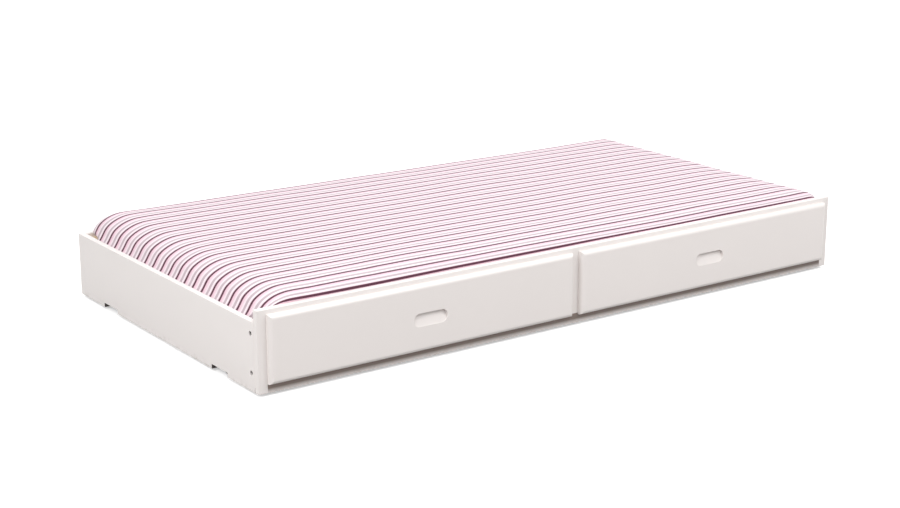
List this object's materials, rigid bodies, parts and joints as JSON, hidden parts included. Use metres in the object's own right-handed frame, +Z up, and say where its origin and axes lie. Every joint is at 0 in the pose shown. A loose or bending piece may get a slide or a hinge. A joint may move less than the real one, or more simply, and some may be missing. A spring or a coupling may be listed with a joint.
{
  "type": "trundle bed",
  "caption": "Low trundle bed: white board frame with two false drawer fronts, slatted base, side-fixed casters and a striped mattress that lifts out.",
  "frame": {"origin": "on the floor under the middle of the bed's outer box", "axes": "+X along the bed, to the right seen from the drawer fronts; -Y towards the drawer fronts; +Z up"},
  "size_m": [1.98, 1.056, 0.2343],
  "materials": {
    "white_paint": "semi-gloss warm white paint on board",
    "pine": "planed, unfinished",
    "zinc": "bright zinc plate",
    "black_steel": "black oxide",
    "hub_plastic": "moulded nylon",
    "tyre_rubber": "soft rubber tread",
    "foam": "open-cell foam",
    "striped_cotton": "woven cotton, stripes along the bed",
    "base_cloth": "plain woven cloth"
  },
  "bodies": {
    "frame": {"front_board": "white_paint", "left_end_board": "white_paint", "right_end_board": "white_paint", "back_rail": "white_paint", "drawer_front_left": "white_paint", "drawer_front_right": "white_paint", "front_left_block": "pine", "front_right_block": "pine", "back_left_block": "pine", "back_right_block": "pine", "front_ledge": "pine", "back_ledge": "pine", "centre_beam": "pine", "left_beam_hanger": "zinc", "right_beam_hanger": "zinc", "slat_1": "pine", "slat_2": "pine", "slat_3": "pine", "slat_4": "pine", "slat_5": "pine", "slat_6": "pine", "slat_7": "pine", "slat_8": "pine", "slat_9": "pine", "slat_10": "pine", "slat_11": "pine", "slat_12": "pine", "slat_13": "pine", "slat_14": "pine", "caster_bracket_1": "zinc", "caster_bracket_2": "zinc", "caster_bracket_3": "zinc", "caster_bracket_4": "zinc", "caster_axle_1": "zinc", "caster_axle_2": "zinc", "caster_axle_3": "zinc", "caster_axle_4": "zinc", "frame_bolts": "black_steel", "barrel_nuts": "zinc", "dowels": "pine", "drawer_front_screws": "zinc", "block_screws": "zinc", "ledge_screws": "zinc", "slat_screws": "zinc", "hanger_screws": "zinc", "caster_screws": "zinc"},
    "front_left_wheel": {"wheel_hub_1": "hub_plastic", "wheel_tyre_1": "tyre_rubber"},
    "front_right_wheel": {"wheel_hub_2": "hub_plastic", "wheel_tyre_2": "tyre_rubber"},
    "back_left_wheel": {"wheel_hub_3": "hub_plastic", "wheel_tyre_3": "tyre_rubber"},
    "back_right_wheel": {"wheel_hub_4": "hub_plastic", "wheel_tyre_4": "tyre_rubber"},
    "mattress": {"mattress_core": "foam", "mattress_cover": "striped_cotton", "mattress_base_cloth": "base_cloth"}
  },
  "joints": [
    {"name": "front_left_wheel_spin", "type": "hinge", "parent": "frame", "child": "front_left_wheel", "pos_m": [-0.9585, -0.312, 0.025], "axis": [1, 0, 0], "continuous": true},
    {"name": "front_right_wheel_spin", "type": "hinge", "parent": "frame", "child": "front_right_wheel", "pos_m": [0.9585, -0.312, 0.025], "axis": [1, 0, 0], "continuous": true},
    {"name": "back_left_wheel_spin", "type": "hinge", "parent": "frame", "child": "back_left_wheel", "pos_m": [-0.9585, 0.328, 0.025], "axis": [1, 0, 0], "continuous": true},
    {"name": "back_right_wheel_spin", "type": "hinge", "parent": "frame", "child": "back_right_wheel", "pos_m": [0.9585, 0.328, 0.025], "axis": [1, 0, 0], "continuous": true},
    {"name": "mattress_lift", "type": "slide", "parent": "frame", "child": "mattress", "axis": [0, 0, 1], "range_m": [0, 0.25]}
  ]
}
